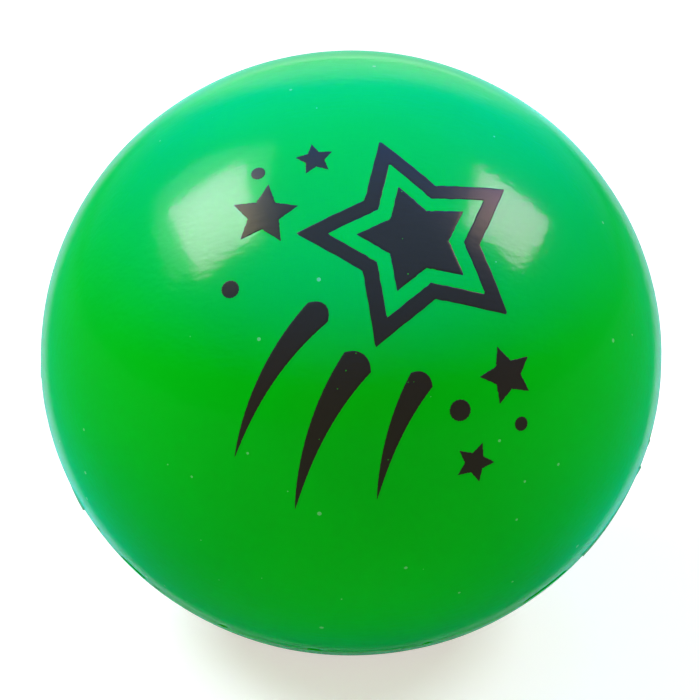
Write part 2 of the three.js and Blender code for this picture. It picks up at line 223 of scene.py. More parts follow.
# Derived sizes of the module, from the cells outwards and from the capsule's underside upwards
cell_radius = CELL_DIAMETER / 2
sleeve_inner = cell_radius + SEAT_GAP
sleeve_outer = sleeve_inner + SLEEVE_WALL
tab_radius = sleeve_outer + SEAT_GAP
part_ring = sleeve_outer + SEAT_GAP + SOLDER_RADIUS
widest_part = max(LED_FLANGE_DIAMETER, SPRING_DIAMETER, LEAD_PITCH + 2 * SOLDER_RADIUS) / 2
capsule_inner = part_ring + widest_part + PART_MARGIN
board_recess = capsule_inner + BOARD_LEDGE + SEAT_GAP
capsule_radius = board_recess + CAPSULE_RIM
negative_strip_z = CUP_FLOOR + SEAT_GAP
stack_z = negative_strip_z + STRIP_THICKNESS + SEAT_GAP
cell_pitch = CELL_THICKNESS + SEAT_GAP
stack_top = stack_z + CELL_COUNT * cell_pitch - SEAT_GAP
positive_strip_z = stack_top + SEAT_GAP
insulator_z = positive_strip_z + STRIP_THICKNESS + SEAT_GAP
board_z = insulator_z + INSULATOR_THICKNESS + SEAT_GAP
board_top = board_z + BOARD_THICKNESS
part_z = board_top + SEAT_GAP
shoulder_z = part_z + SPIGOT_LENGTH
spring_height = SPRING_COILS * SPRING_PITCH + SPRING_WIRE
lens_straight_top = part_z + max(LED_HEIGHT, spring_height, PIN_HEIGHT) + LENS_HEADROOM
capsule_height = lens_straight_top + LENS_RISE + LENS_WALL

# Derived sizes of the pocket and plug, from the ball's middle towards the front pole
bore_radius = capsule_radius + SEAT_GAP
pocket_radius = bore_radius + POCKET_WALL
plug_radius = bore_radius - SEAT_GAP
plug_head_radius = bore_radius + PLUG_LIP
mouth_radius = plug_head_radius + SEAT_GAP
plug_edge_angle = -math.acos(plug_head_radius / ball_radius)
mouth_angle = -math.acos(mouth_radius / ball_radius)
mouth_ledge_z = ball_radius * math.sin(plug_edge_angle) + PLUG_RIM
plug_top_z = mouth_ledge_z + PLUG_BODY
bead_z = (mouth_ledge_z + plug_top_z) / 2
module_z = plug_top_z + SEAT_GAP
pocket_floor_z = module_z + capsule_height + SEAT_GAP
pocket_end_z = pocket_floor_z + POCKET_WALL


# Places
def unit(vectors):
    """Vectors brought to length one."""
    return vectors / np.maximum(np.linalg.norm(vectors, axis=-1, keepdims=True), TINY)


def seated(points):
    """Ball frame to world: a turn about X by the tilt, then a lift to the height of the ball's middle."""
    return points @ pole_turn.T + (0, 0, centre_height)


def lumps(points):
    """Moulding sink of the skin: the sum of sine waves across the ball, one for each wavelength."""
    directions = unit(points)
    height = np.zeros(points.shape[:-1])
    for count, wavelength in enumerate(LUMP_WAVELENGTHS):
        bearing, lean = np.multiply(LUMP_TURNS, count)
        way = np.array([math.cos(bearing), math.sin(bearing), math.cos(lean)])
        height += np.sin(2 * math.pi * ball_radius / wavelength * (directions @ way) + count)
    return LUMP_HEIGHT * height / len(LUMP_WAVELENGTHS)


def settled(points):
    """Ball frame to world for the sagged skin: seen upright, a point is lowered in proportion to its height
    and spread sideways the more the lower it lies; the floor then presses what lies below it flat. The sag
    fades out round the plug."""
    skin = points * (1 + lumps(points) / ball_radius)[..., None]
    from_axis = np.hypot(skin[..., 0], skin[..., 1])
    fade = np.clip((from_axis - mouth_radius) / SAG_FADE, 0, 1)
    behind = skin[..., 2] < pocket_end_z + POCKET_WALL
    share = np.where(behind, fade * fade * (3 - 2 * fade), 1)[..., None]
    level = skin @ pole_turn.T
    spread = 1 - BELLY / ball_radius * level[..., 2] / ball_radius
    sag = np.stack([level[..., 0] * spread, level[..., 1] * spread,
                    level[..., 2] * upright_radius / ball_radius], axis=-1)
    placed = level + share * (sag - level) + (0, 0, centre_height)
    height = placed[..., 2]
    placed[..., 2] = (height + np.sqrt(height ** 2 + PRESS_ROUNDING ** 2)) / 2
    return placed


def on_board(points, degrees=0, out=0, up=0):
    """Module frame to ball frame: a shift along X and Z, a turn about the pole axis, a lift to the pocket."""
    angle = math.radians(degrees)
    turn = np.array([
        [math.cos(angle), -math.sin(angle), 0],
        [math.sin(angle), math.cos(angle), 0],
        [0, 0, 1],
    ])
    return (points + (out, 0, up)) @ turn.T + (0, 0, module_z)


# Outlines, as rows of (radius, height)
def arc(across, up, start, end, steps=ARC_STEPS, middle=(0, 0)):
    """Points of an ellipse between two angles: middle + (across cos a, up sin a)."""
    angle = np.linspace(start, end, steps + 1)
    return np.stack([middle[0] + across * np.cos(angle), middle[1] + up * np.sin(angle)], axis=-1)


def bent(start, bend, end, along):
    """A quadratic curve from start to end that leans towards bend, at shares of the way along it."""
    return start * (1 - along) ** 2 + 2 * bend * along * (1 - along) + end * along ** 2


def rounded(corners, radius):
    """An outline whose inner corners are rounded: each corner becomes a quadratic curve between the points
    that lie a radius before and after it, or a third of the way to its neighbours."""
    corners = np.array(corners, float)
    middle = corners[1:-1]
    ends = []
    for neighbour in (corners[:-2], corners[2:]):
        way = neighbour - middle
        reach = np.linalg.norm(way, axis=1, keepdims=True)
        ends.append(middle + way * np.minimum(radius / reach, 1 / 3))
    along = np.linspace(0, 1, CORNER_STEPS)[None, :, None]
    curve = bent(ends[0][:, None], middle[:, None], ends[1][:, None], along)
    return np.concatenate([corners[:1], curve.reshape(-1, 2), corners[-1:]])


def whole_turn(sides):
    """Angles in equal steps round a whole turn."""
    return np.linspace(0, 2 * math.pi, sides, endpoint=False)


def turned(outline, sides):
    """Carries an outline round the pole axis: at angle a, (radius cos a, radius sin a, height). Rows follow
    the outline, which runs up the outside and down the inside."""
    angle = whole_turn(sides)
    radius = outline[:, :1]
    height = np.broadcast_to(outline[:, 1:], (len(outline), sides))
    return np.stack([radius * np.cos(angle), radius * np.sin(angle), height], axis=-1)


def capped(grid):
    """A tube's grid, with each end closed to a point in the middle of its ring."""
    ends = [np.broadcast_to(grid[i].mean(axis=0), (1, *grid.shape[1:])) for i in (0, -1)]
    return np.concatenate([ends[0], grid, ends[1]])


# Meshes
MERGE_STEP = 1e-5
SHARP_ANGLE = 35


def grid_faces(grid):
    """Quads of a grid whose columns close into rings, turned to face outwards: the volume that they enclose,
    a third of the sum of corner . (side x side), is made positive."""
    rows, columns = grid.shape[:2]
    row, column = np.meshgrid(np.arange(rows - 1), np.arange(columns), indexing="ij")
    after = (column + 1) % columns
    corners = [row * columns + column, row * columns + after,
               (row + 1) * columns + after, (row + 1) * columns + column]
    quads = np.stack(corners, axis=-1).reshape(-1, 4)
    points = grid.reshape(-1, 3) - grid.reshape(-1, 3).mean(axis=0)
    diagonal = points[quads[:, 2]] - points[quads[:, 0]]
    other = points[quads[:, 3]] - points[quads[:, 1]]
    volume = np.sum(points[quads].mean(axis=1) * np.cross(diagonal, other))
    return quads if volume > 0 else quads[:, ::-1]


def new_piece(name, grids, material, replaced=(), body="ball"):
    """Makes one object of grids of world points in millimetres. Points that meet, as at a pole or a seam, are
    merged, and quads that lose a corner by that become triangles."""
    firsts = np.cumsum([0] + [grid.shape[0] * grid.shape[1] for grid in grids])
    points = np.concatenate([grid.reshape(-1, 3) for grid in grids])
    quads = np.concatenate([grid_faces(grid) + first for grid, first in zip(grids, firsts)])
    keys = np.round(points / MERGE_STEP).astype(np.int64)
    _, kept, place = np.unique(keys, axis=0, return_index=True, return_inverse=True)
    quads = place.reshape(-1)[quads]
    foot = quads[:, 0] == quads[:, 1]
    head = quads[:, 2] == quads[:, 3]
    faces = (quads[~foot & ~head].tolist() + quads[foot & ~head][:, 1:].tolist()
             + quads[head & ~foot][:, :3].tolist())
    mesh = bpy.data.meshes.new(name)
    mesh.from_pydata(points[kept] * MM, [], faces)
    mesh.polygons.foreach_set("use_smooth", np.ones(len(faces), bool))
    mesh.set_sharp_from_angle(angle=math.radians(SHARP_ANGLE))
    mesh.materials.append(material)
    made = bpy.data.objects.new(name, mesh)
    bpy.context.scene.collection.objects.link(made)
    if body:
        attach(made, body)
    if replaced:
        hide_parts(*replaced)
    return made


# Shader helpers
def linear(hex_colour):
    """An sRGB hex value such as #00b806 as the linear red, green, blue and alpha of a colour socket."""
    srgb = np.array([int(hex_colour[i:i + 2], 16) for i in (1, 3, 5)]) / 255
    return (*np.where(srgb <= 0.04045, srgb / 12.92, ((srgb + 0.055) / 1.055) ** 2.4), 1.0)


def add(tree, kind, links=(), **settings):
    """Adds a node with its settings; links maps an input's name or number to a value, another output, or
    another node, which stands for its first output."""
    made = tree.nodes.new("ShaderNode" + kind)
    for setting, value in settings.items():
        setattr(made, setting, value)
    for socket, value in dict(links).items():
        if isinstance(value, bpy.types.Node):
            value = value.outputs[0]
        if isinstance(value, bpy.types.NodeSocket):
            tree.links.new(value, made.inputs[socket])
        else:
            made.inputs[socket].default_value = value
    return made


def new_material(name):
    """A material with an empty node tree, and that tree."""
    material = bpy.data.materials.new(name)
    material.use_nodes = True
    material.node_tree.nodes.clear()
    return material, material.node_tree


def pole_coordinates(tree):
    """Object coordinates in millimetres in the ball's frame, undoing seated()."""
    back = -(pole_turn.T @ (0, 0, centre_height))
    inputs = {
        "Vector": add(tree, "TexCoord").outputs["Object"],
        "Location": back,
        "Rotation": (-tilt, 0, 0),
        "Scale": (1 / MM, 1 / MM, 1 / MM),
    }
    return add(tree, "Mapping", inputs).outputs["Vector"]


# Materials of the outside
RUBBER_GREEN = "#00b806"
RUBBER_GREEN_DEEP = "#00b004"
VEIL_TEAL = "#00b8bc"
DUST_COLOUR = "#d5e8da"
SCUFF_COLOUR = "#7ccf93"
TORN_GREENS = ("#86c39c", "#5fae7c")
INK_BLACK = "#2c2622"
INK_SHINE = "#c0ff3e"
INK_GLOSS = 0.03
INK_DULL_START = 0.22
INK_DULL_FULL = 0.6
PINHOLE_CELL = 1.6
PINHOLE_RADIUS = 0.06
DUST_CELL = 3.4
DUST_RADIUS = 0.27
DUST_COVER = 0.22
BROAD_RIPPLE = 1.4
BROAD_RIPPLE_HEIGHT = 0.004
FINE_RIPPLE = 0.7
FINE_RIPPLE_DRAW = (0.35, 1.0, 1.0)
FINE_RIPPLE_HEIGHT = 0.024
TRIM_STREAK = 0.5
TRIM_STREAK_DRAW = (0.06, 0.06, 1.0)
TRIM_STREAK_HEIGHT = 0.03
TRIM_REACH = 8.0
MOTTLE_SIZE = 9.0
POLISH = 0.04
RIM_POLISH = 0.48
RIM_START = 0.775
RIM_FULL = 0.845
SCUFF_WIDTH = 0.14
SCUFF_PATCH = 4.0
SCUFF_COVER = 0.3
SCUFF_WORN_START = 0.5
SCUFF_WORN_FULL = 0.62
SCUFFS = [
    # middle in the ball's frame, and the distance from it at which the skin is scuffed
    ((-28.1, -20.0, 14.7), 1.8),
    ((30.0, 12.0, -18.0), 6.0),
    ((-24.0, 20.0, -20.0), 5.0),
]


def skin_ripple(tree, place):
    """Relief of the moulded skin: a broad ripple, and a fine one that is drawn coarser and higher than the
    real haze of the mould, so that it shows on the whole ball."""
    broad = add(tree, "TexNoise", {"Vector": place, "Scale": 1 / BROAD_RIPPLE})
    drawn = add(tree, "Mapping", {"Vector": place, "Scale": FINE_RIPPLE_DRAW})
    fine = add(tree, "TexNoise", {"Vector": drawn, "Scale": 1 / FINE_RIPPLE, "Detail": 1.0})
    under = add(tree, "Bump", {"Height": broad.outputs["Fac"], "Distance": BROAD_RIPPLE_HEIGHT * MM})
    inputs = {"Height": fine.outputs["Fac"], "Distance": FINE_RIPPLE_HEIGHT * MM, "Normal": under}
    return add(tree, "Bump", inputs)


def trim_streaks(tree, place, ripple):
    """Marks of the blade that trimmed the seam: streaks that run along it and die out away from it, drawn
    coarser than the real scratches so that they show."""
    drawn = add(tree, "Mapping", {"Vector": place, "Scale": TRIM_STREAK_DRAW})
    streaks = add(tree, "TexNoise", {"Vector": drawn, "Scale": 1 / TRIM_STREAK, "Detail": 2.0})
    height = add(tree, "SeparateXYZ", {0: place}).outputs["Z"]
    off_seam = add(tree, "Math", {0: height}, operation="ABSOLUTE")
    near = add(tree, "MapRange", {0: off_seam, 1: 0.0, 2: TRIM_REACH, 3: 1.0, 4: 0.0})
    inputs = {"Height": streaks.outputs["Fac"], "Distance": TRIM_STREAK_HEIGHT * MM,
              "Strength": near, "Normal": ripple}
    return add(tree, "Bump", inputs)


def soft_rubber():
    """Moulded thermoplastic rubber: saturated green, a soft teal sheen from its oily, rippled skin, a clear
    polish that grows at glancing angles, dust that clings to it, and fine pale scuffs."""
    material, tree = new_material("moulded_soft_rubber")
    place = pole_coordinates(tree)
    mottle = add(tree, "TexNoise", {"Vector": place, "Scale": 1 / MOTTLE_SIZE, "Detail": 3.0})
    tones = {0: mottle.outputs["Fac"], 6: linear(RUBBER_GREEN), 7: linear(RUBBER_GREEN_DEEP)}
    green = add(tree, "Mix", tones, data_type="RGBA")
    rings = 0.0
    for middle, radius in SCUFFS:
        away = add(tree, "VectorMath", {0: place, 1: middle}, operation="DISTANCE").outputs["Value"]
        ring = add(tree, "Math", {0: away, 1: radius, 2: SCUFF_WIDTH / 2}, operation="COMPARE")
        rings = add(tree, "Math", {0: ring, 1: rings}, operation="MAXIMUM")
    patches = add(tree, "TexNoise", {"Vector": place, "Scale": 1 / SCUFF_PATCH, "Detail": 4.0})
    worn = add(tree, "MapRange", {0: patches.outputs["Fac"], 1: SCUFF_WORN_START, 2: SCUFF_WORN_FULL,
                                  3: 0.0, 4: SCUFF_COVER})
    scuff = add(tree, "Math", {0: rings, 1: worn}, operation="MULTIPLY")
    scuffed = add(tree, "Mix", {0: scuff, 6: green.outputs[2], 7: linear(SCUFF_COLOUR)}, data_type="RGBA")
    grains = add(tree, "TexVoronoi", {"Vector": place, "Scale": 1 / DUST_CELL})
    grain_size = add(tree, "SeparateColor", {0: grains.outputs["Color"]})
    reach = add(tree, "Math", {0: grain_size, 1: DUST_RADIUS / DUST_CELL}, operation="MULTIPLY")
    dust = add(tree, "Math", {0: grains.outputs["Distance"], 1: reach}, operation="LESS_THAN")
    cover = add(tree, "Math", {0: dust, 1: DUST_COVER}, operation="MULTIPLY")
    skin = add(tree, "Mix", {0: cover, 6: scuffed.outputs[2], 7: linear(DUST_COLOUR)}, data_type="RGBA")
    ripple = skin_ripple(tree, place)
    streaked = trim_streaks(tree, place, ripple)
    glancing = add(tree, "LayerWeight", {"Normal": streaked})
    polish = add(tree, "MapRange", {0: glancing.outputs["Facing"], 1: RIM_START, 2: RIM_FULL,
                                    3: POLISH, 4: RIM_POLISH})
    shader = add(tree, "BsdfPrincipled", {
        "Base Color": skin.outputs[2],
        "Roughness": 0.46,
        "IOR": 1.5,
        "Specular IOR Level": 0.0,
        "Coat Weight": polish,
        "Coat Roughness": 0.12,
        "Coat IOR": 1.7,
        "Sheen Weight": 1.0,
        "Sheen Roughness": 0.345,
        "Sheen Tint": linear(VEIL_TEAL),
        "Normal": ripple,
        "Coat Normal": streaked,
    })
    add(tree, "OutputMaterial", {"Surface": shader})
    return material


def print_ink():
    """Pad-printed flexible ink: black film that follows the skin's ripple, with pinholes where the pad
    missed. Its gloss dies out at glancing angles, so that it stays black there."""
    material, tree = new_material("pad_printed_ink")
    place = pole_coordinates(tree)
    pores = add(tree, "TexVoronoi", {"Vector": place, "Scale": 1 / PINHOLE_CELL})
    pinhole = add(tree, "Math", {0: pores.outputs["Distance"], 1: PINHOLE_RADIUS / PINHOLE_CELL},
                  operation="LESS_THAN")
    film = add(tree, "Mix", {0: pinhole, 6: linear(INK_BLACK), 7: linear(RUBBER_GREEN_DEEP)},
               data_type="RGBA")
    facing = add(tree, "LayerWeight").outputs["Facing"]
    gloss = add(tree, "MapRange", {0: facing, 1: INK_DULL_START, 2: INK_DULL_FULL, 3: INK_GLOSS, 4: 0.0})
    shader = add(tree, "BsdfPrincipled", {
        "Base Color": film.outputs[2],
        "Roughness": 0.27,
        "IOR": 1.45,
        "Specular IOR Level": gloss,
        "Specular Tint": linear(INK_SHINE),
        "Normal": skin_ripple(tree, place),
    })
    add(tree, "OutputMaterial", {"Surface": shader})
    return material


def grained(name, tones, grain, relief, stretch=(1, 1, 1), **sockets):
    """A surface whose colour wanders between two tones over grains of a size in millimetres, and whose
    relief, in millimetres, follows the same grain; stretch draws it out along an axis of the ball's frame."""
    material, tree = new_material(name)
    drawn = add(tree, "Mapping", {"Vector": pole_coordinates(tree), "Scale": stretch})
    noise = add(tree, "TexNoise", {"Vector": drawn, "Scale": 1 / grain, "Detail": 5.0})
    colour = add(tree, "Mix", {0: noise.outputs["Fac"], 6: linear(tones[0]), 7: linear(tones[1])},
                 data_type="RGBA")
    bump = add(tree, "Bump", {"Height": noise.outputs["Fac"], "Distance": relief * MM})
    inputs = {"Base Color": colour.outputs[2], "Normal": bump}
    inputs.update({socket.replace("_", " "): value for socket, value in sockets.items()})
    shader = add(tree, "BsdfPrincipled", inputs)
    add(tree, "OutputMaterial", {"Surface": shader})
    return material


def torn_rubber():
    """Rubber whitened where the flash was torn and trimmed off: paler and duller than the moulded skin."""
    return grained("torn_rubber", TORN_GREENS, grain=0.8, relief=0.02,
                   Roughness=0.6, Specular_IOR_Level=0.0)


# Materials of the inside
def clear_styrene():
    """Injection-moulded clear polystyrene: bright, water-clear and faintly wavy."""
    return grained("clear_polystyrene", ("#eef3f4", "#e4ecee"), grain=6.0, relief=0.004,
                   Roughness=0.06, IOR=1.59, Transmission_Weight=1.0)


def nickelled_steel():
    """Drawn, nickel-plated steel can: bright metal with a fine turned grain and handling marks."""
    return grained("nickel_plated_steel", ("#cfd0d0", "#b4b6b8"), grain=0.5, relief=0.003,
                   stretch=(1, 1, 8), Roughness=0.28, Metallic=1.0)


def nickel_strip():
    """Rolled nickel strip: satin metal with long rolling lines."""
    return grained("rolled_nickel", ("#c6c5bf", "#a9a9a4"), grain=0.35, relief=0.003,
                   stretch=(0.15, 0.15, 1), Roughness=0.35, Metallic=1.0)


def tinned_wire():
    """Tinned copper and solder: soft grey metal, dull in patches where it froze."""
    return grained("tinned_solder", ("#cfcfca", "#a5a5a0"), grain=0.3, relief=0.01,
                   Roughness=0.38, Metallic=1.0)


def plated_brass():
    """Gold-coloured plated brass wire: warm metal with drawing lines and a little tarnish."""
    return grained("plated_brass", ("#d8b873", "#b78f4c"), grain=0.4, relief=0.002,
                   Roughness=0.27, Metallic=1.0)


def sleeve_film():
    """Shrunk vinyl film: dark, glossy and drawn tight, with fine creases."""
    return grained("shrunk_vinyl", ("#23272f", "#171a20"), grain=1.2, relief=0.012,
                   stretch=(1, 1, 0.3), Roughness=0.25, IOR=1.53)


def chip_epoxy():
    """Cured black epoxy: nearly black, glossy, with flow waves."""
    return grained("black_epoxy", ("#121212", "#0b0b0c"), grain=1.4, relief=0.02, Roughness=0.3, IOR=1.55)


def glazed_ceramic():
    """Glazed chip-resistor body: black glass over ceramic."""
    return grained("glazed_ceramic", ("#1e1e21", "#141416"), grain=0.25, relief=0.004,
                   Roughness=0.35, IOR=1.5)


def insulator_card():
    """Pressed insulating card: buff, matt and fibrous."""
    return grained("pressed_card", ("#c3ac84", "#a58c62"), grain=0.35, relief=0.03,
                   stretch=(1, 4, 1), Roughness=0.85, IOR=1.45)


LAMP_TONES = {"red": ("#e0474b", "#cf3338"), "green": ("#58c274", "#44ad60"), "blue": ("#5274d6", "#3d60c6")}


def lamp_epoxy(colour):
    """Cast tinted epoxy lamp body: clear, coloured through, with a smooth cast skin."""
    return grained(f"tinted_epoxy_{colour}", LAMP_TONES[colour], grain=2.0, relief=0.003,
                   Roughness=0.08, IOR=1.54, Transmission_Weight=0.85)


BOARD_GREENS = ("#155a2f", "#2a8048")
BOARD_RELIEF = 0.02
TRACK_SPACING = 2.6
TRACK_EDGE_START = 0.42
TRACK_EDGE_FULL = 0.46
WEAVE_SPACING = 0.35


def board_laminate():
    """Solder-masked glass laminate: green lacquer over copper tracks that show as paler bands, and over the
    weave of the glass cloth."""
    material, tree = new_material("solder_masked_laminate")
    place = pole_coordinates(tree)
    tracks = add(tree, "TexVoronoi", {"Vector": place, "Scale": 1 / TRACK_SPACING}, distance="MANHATTAN")
    copper = add(tree, "MapRange", {0: tracks.outputs["Distance"], 1: TRACK_EDGE_START, 2: TRACK_EDGE_FULL})
    tones = [linear(green) for green in BOARD_GREENS]
    mask = add(tree, "Mix", {0: copper, 6: tones[0], 7: tones[1]}, data_type="RGBA")
    weave = add(tree, "TexWave", {"Vector": place, "Scale": 1 / WEAVE_SPACING, "Distortion": 0.4})
    relief = add(tree, "Math", {0: copper, 1: weave.outputs["Fac"]}, operation="MULTIPLY")
    bump = add(tree, "Bump", {"Height": relief, "Distance": BOARD_RELIEF * MM})
    shader = add(tree, "BsdfPrincipled", {
        "Base Color": mask.outputs[2], "Roughness": 0.35, "IOR": 1.55, "Normal": bump})
    add(tree, "OutputMaterial", {"Surface": shader})
    return material


# Skin of the ball
def nick_depth(degrees):
    """How deep the seam is torn at places round it: at each nick a blunt bump, the sine of the way along it
    raised to a low power."""
    depth = np.zeros(np.shape(degrees))
    for start, length in FLASH_NICKS:
        along = np.clip(np.mod(degrees - start, 360) / length, 0, 1)
        depth = np.maximum(depth, NICK_DEPTH * np.abs(np.sin(math.pi * along)) ** NICK_BLUNTNESS)
    return depth


def front_skin():
    """The printed half: its cavity's arc, the weld's tongue, the seam's edge and the outer arc, turned. Its
    edge is drawn in at the nicks."""
    tongue = cavity_radius + TONGUE_WALL
    seam_z = -WELD_GAP / 2 + SEAM_GAP / 2
    edge = rounded([(tongue, -LAP_DEPTH), (tongue, seam_z), (ball_radius + WELD_RIDGE, seam_z),
                    (ball_radius + WELD_RIDGE, seam_z + WELD_RIDGE_WIDTH)], SEAM_ROUNDING)
    outline = np.concatenate([
        arc(cavity_radius, cavity_radius, math.pi / 2, 0),
        [(cavity_radius, -LAP_DEPTH)],
        edge[:-1],
        arc(ball_radius, ball_radius, WELD_RIDGE_WIDTH / ball_radius, math.pi / 2),
    ])
    outline[[0, -1], 0] = 0
    grid = turned(outline, AROUND_BALL)
    outside = np.hypot(grid[..., 0], grid[..., 1]) > tongue
    from_seam = np.clip(1 - np.abs(grid[..., 2] - seam_z) / NICK_REACH, 0, 1)
    round_seam = np.degrees(np.arctan2(grid[..., 1], grid[..., 0]))
    drop = np.where(outside, nick_depth(round_seam) * from_seam ** 2, 0)
    grid[..., :2] *= 1 - drop[..., None] / ball_radius
    return settled(grid)


def rear_skin():
    """The other half: the pocket and its mouth, the outer arc, the seam's edge and rebate, and the cavity."""
    lap = cavity_radius + TONGUE_WALL + WELD_GAP
    lap_z = -LAP_DEPTH - WELD_GAP
    seam_z = -WELD_GAP / 2 - SEAM_GAP / 2
    mouth = rounded([(bore_radius, mouth_ledge_z), (mouth_radius, mouth_ledge_z),
                     (mouth_radius, ball_radius * math.sin(mouth_angle)),
                     arc(ball_radius, ball_radius, mouth_angle + MOUTH_CURVE_END, 0)[0]], PLUG_EDGE_ROUNDING)
    edge = rounded([(ball_radius + WELD_RIDGE, seam_z - WELD_RIDGE_WIDTH), (ball_radius + WELD_RIDGE, seam_z),
                    (lap, seam_z), (lap, lap_z)], SEAM_ROUNDING)
    outline = np.concatenate([
        [(0, pocket_floor_z), (bore_radius, pocket_floor_z)],
        [(bore_radius, bead_z + PLUG_BEAD_WIDTH / 2), (bore_radius + PLUG_BEAD, bead_z)],
        [(bore_radius, bead_z - PLUG_BEAD_WIDTH / 2)],
        mouth,
        arc(ball_radius, ball_radius, mouth_angle + MOUTH_ARC_START,
            -(WELD_RIDGE_WIDTH + WELD_GAP) / ball_radius),
        edge[1:],
        arc(cavity_radius, cavity_radius, math.asin(lap_z / cavity_radius),
            -math.acos(pocket_radius / cavity_radius)),
        [(pocket_radius, pocket_end_z), (0, pocket_end_z)],
    ])
    return settled(turned(outline, AROUND_BALL))


def plug_skin():
    """The plug: a piece of the ball's own round with a gate mark sunk at the pole, a rounded edge, and the
    stem with its holding bead."""
    head_top = mouth_ledge_z - SEAT_GAP
    dome = arc(ball_radius, ball_radius, -math.pi / 2, plug_edge_angle)
    dome[:, 1] += GATE_DEPTH * np.exp(-(dome[:, 0] / GATE_RADIUS) ** GATE_STEEPNESS)
    dome[0, 0] = 0
    edge = rounded([dome[-PLUG_EDGE_POINTS], dome[-1], (plug_head_radius, head_top), (plug_radius, head_top)],
                   PLUG_EDGE_ROUNDING)
    stem = [(plug_radius, bead_z - PLUG_BEAD_WIDTH / 2), (plug_radius + PLUG_BEAD, bead_z),
            (plug_radius, bead_z + PLUG_BEAD_WIDTH / 2), (plug_radius, plug_top_z), (0, plug_top_z)]
    return seated(turned(np.concatenate([dome[:-PLUG_EDGE_POINTS], edge, stem]), AROUND_BALL))


def seam_flash():
    """Trimmed flash along the seam: a thin fin with a low wavy edge. Each tag rises slowly along the seam and
    breaks off; at each nick the fin is torn down below the skin. Its section is a loop of four corners."""
    angle = whole_turn(AROUND_SEAM)
    waves = np.sin(FLASH_WAVES[0] * angle) * np.sin(FLASH_WAVES[1] * angle + 1)
    height = FLASH_TRIM * (1 + waves) / 2
    for start, length, rise in FLASH_TAGS:
        along = np.mod(np.sign(length) * (np.degrees(angle) - start), 360) / abs(length)
        height = np.maximum(height, np.where(along < 1, rise * along ** TAG_BLUNTNESS, 0))
    height -= np.where(height <= FLASH_TRIM, nick_depth(np.degrees(angle)), 0)
    rows = []
    for top, side in FLASH_SECTION:
        radius = ball_radius + np.where(top, height, -FLASH_ROOT)
        off = side * FLASH_THICKNESS - WELD_GAP / 2 + 0 * angle
        rows.append(np.stack([radius * np.cos(angle), radius * np.sin(angle), off], axis=-1))
    return settled(np.array(rows))


# Print
def wrapped(across, up, lift):
    """Lays flat print coordinates on the ball: the point at a distance and a bearing from the print's middle
    goes to the same distance along the skin at that bearing, raised by lift."""
    middle = unit(np.array(PRINT_MIDDLE) @ pole_turn)
    right = unit(np.cross(pole_turn[2], middle))
    above = np.cross(middle, right)
    distance = np.maximum(np.hypot(across, up), TINY)
    bearing = (across[..., None] * right + up[..., None] * above) / distance[..., None]
    turn = (distance / ball_radius)[..., None]
    direction = np.cos(turn) * middle + np.sin(turn) * bearing
    return settled(direction * (ball_radius + lift)[..., None])


def star_radius(angle, points, tip, valley):
    """Radius of a star's straight-sided outline at an angle, between its tips and valleys."""
    half = math.pi / points
    bend = np.abs(np.mod(angle + half, 2 * half) - half)
    return tip * valley * math.sin(half) / (
        valley * math.sin(half) * np.cos(bend) + (tip - valley * math.cos(half)) * np.sin(bend))


def ragged(angle, seed):
    """Uneven edge of a printed shape: a sum of fine waves round its outline."""
    chance = np.random.default_rng(seed)
    waves = [np.sin(count * angle + chance.uniform(0, 2 * math.pi)) for count in INK_WAVES]
    return INK_WOBBLE * sum(waves) / len(INK_WAVES)


# Lift of a film's section, as a closed loop: up one edge, over the top, down the other and back below
FILM_LIFT = np.array([-INK_ROOT, 0] + [INK_THICKNESS] * INK_ROWS + [0, -INK_ROOT, -INK_ROOT])


def ink_ring(middle, outer, inner, spin, seed, points=5):
    """A printed star outline: between an outer and an inner star; the section is a closed loop of film. An
    inner size of (0, 0) fills the star."""
    angle = whole_turn(AROUND_BALL)
    rim = star_radius(angle - spin, points, *outer) + ragged(angle, seed)
    core = star_radius(angle - spin, points, *inner) + ragged(angle, seed + 1) if inner[0] else 0 * angle
    bevel = INK_BEVEL if inner[0] else 0
    top = np.linspace(core + bevel, rim - INK_BEVEL, INK_ROWS)
    radius = np.stack([core, core, *top, rim, rim, core])
    lift = np.broadcast_to(FILM_LIFT[:, None], radius.shape)
    if not inner[0]:
        radius, lift = radius[2:], lift[2:]
    return wrapped(middle[0] + radius * np.cos(angle), middle[1] + radius * np.sin(angle), lift)


def ink_trail(start, bend, end, width, seed):
    """A printed streak: a quadratic curve from start to end, widest near its start and drawn to a point; its
    section is a closed loop of film."""
    along = np.linspace(0, 1, TRAIL_STEPS)
    path = bent(*[np.array(point, float)[:, None] for point in (start, bend, end)], along)
    slope = np.gradient(path, axis=1)
    slope /= np.linalg.norm(slope, axis=0)
    half = width / 2 * np.sqrt(np.clip(along / TRAIL_HEAD, 0, 1)) * (1 - along) ** TRAIL_TAPER
    half = np.maximum(half + ragged(2 * math.pi * along, seed) / TRAIL_CALM, 0)
    half[[0, -1]] = 0
    bevel = np.minimum(INK_BEVEL, half / 2)
    top = np.linspace(bevel - half, half - bevel, INK_ROWS)
    side = np.stack([-half, -half, *top, half, half, 0 * half], axis=-1)
    lift = np.where(half[:, None] > 0, FILM_LIFT, 0)
    across = path[0][:, None] - slope[1][:, None] * side
    up = path[1][:, None] + slope[0][:, None] * side
    return wrapped(across, up, lift)


